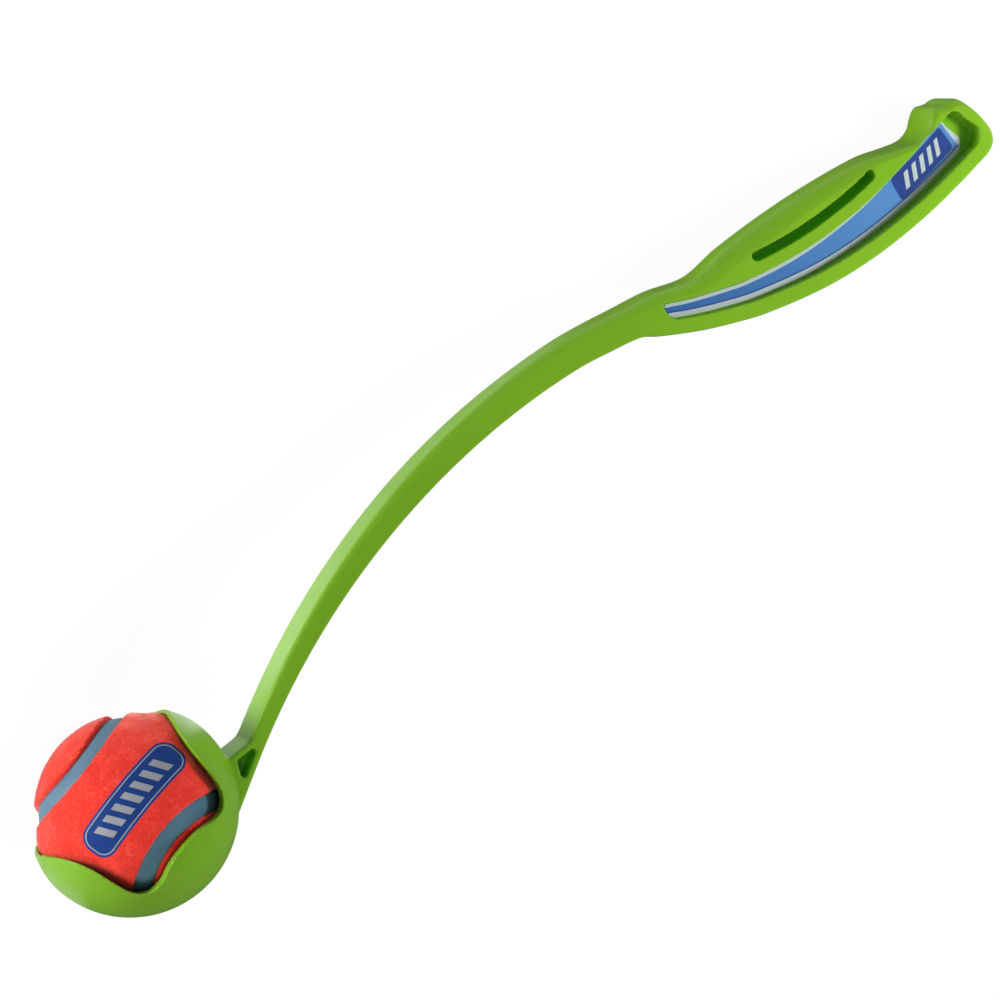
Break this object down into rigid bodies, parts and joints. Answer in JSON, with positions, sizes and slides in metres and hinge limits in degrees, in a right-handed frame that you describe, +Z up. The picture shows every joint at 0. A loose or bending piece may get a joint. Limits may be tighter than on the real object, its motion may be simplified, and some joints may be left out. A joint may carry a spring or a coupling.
{
  "type": "dog ball launcher stick",
  "caption": "Moulded throwing stick with a bowed shaft, a contoured grip with a label recess and an open cup that holds a felt ball and lets it fly out when swung.",
  "frame": {"origin": "middle of the box's base, on the surface that the launcher lies on", "axes": "+X from the ball to the butt of the grip, +Y to the open side of the cup, +Z up, across the wand"},
  "size_m": [0.4441, 0.0778, 0.071],
  "materials": {
    "moulded_plastic": "satin lime-green moulded plastic",
    "label_film": "printed film, blue with silver borders",
    "core_rubber": "plain moulded rubber, hidden",
    "ball_felt": "napped orange-red felt",
    "seam_rubber": "matt blue-grey rubber"
  },
  "bodies": {
    "launcher": {"wand": "moulded_plastic", "grip_label": "label_film"},
    "ball": {"ball_core_front": "core_rubber", "ball_core_back": "core_rubber", "felt_panel_front": "ball_felt", "felt_panel_back": "ball_felt", "ball_seam": "seam_rubber"}
  },
  "joints": [
    {"name": "ball_release", "type": "slide", "parent": "launcher", "child": "ball", "axis": [-0.2075, 0.9781, 0.0134], "range_m": [0, 0.09]}
  ]
}
